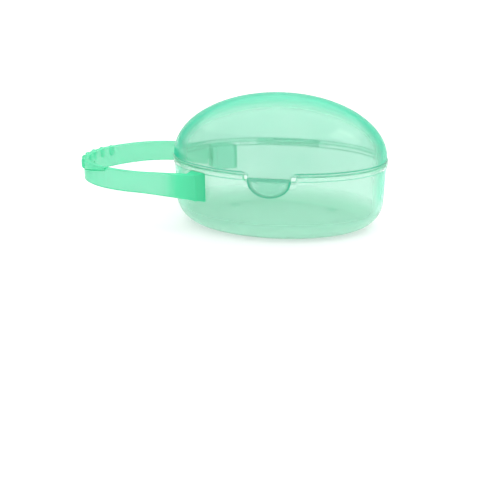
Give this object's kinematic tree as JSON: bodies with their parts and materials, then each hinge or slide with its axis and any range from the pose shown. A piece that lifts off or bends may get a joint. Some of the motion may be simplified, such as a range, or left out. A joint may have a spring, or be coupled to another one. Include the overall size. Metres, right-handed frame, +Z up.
{
  "type": "pacifier case",
  "caption": "Translucent oval soother case with a domed hinged lid, a thumb tab latch and a flat carrying loop whose rear half opens as a gate.",
  "frame": {"origin": "centre of the oval on the case's flat underside", "axes": "+X away from the carrying loop, -Y towards the thumb tab and +Y towards the lid's hinge, +Z up"},
  "size_m": [0.1248, 0.0607, 0.0524],
  "materials": {
    "mint_shell": "translucent mint polypropylene, polished",
    "mint_band": "translucent mint polypropylene, satin",
    "mint_pin": "mint plastic pin"
  },
  "bodies": {
    "tub": {"tub": "mint_shell", "fixed_arm": "mint_band", "gate_bracket": "mint_band", "lid_hinge_pin": "mint_pin", "gate_pin": "mint_pin"},
    "lid": {"lid": "mint_shell", "thumb_tab": "mint_shell"},
    "gate": {"gate_arm": "mint_band"}
  },
  "joints": [
    {"name": "lid_hinge", "type": "hinge", "parent": "tub", "child": "lid", "pos_m": [0, 0.0299, 0.0259], "axis": [-1, 0, 0], "range_deg": [0, 120]},
    {"name": "gate_swing", "type": "hinge", "parent": "tub", "child": "gate", "pos_m": [-0.033, 0.0245, 0.02], "axis": [0, 0, -1], "range_deg": [0, 75]}
  ]
}
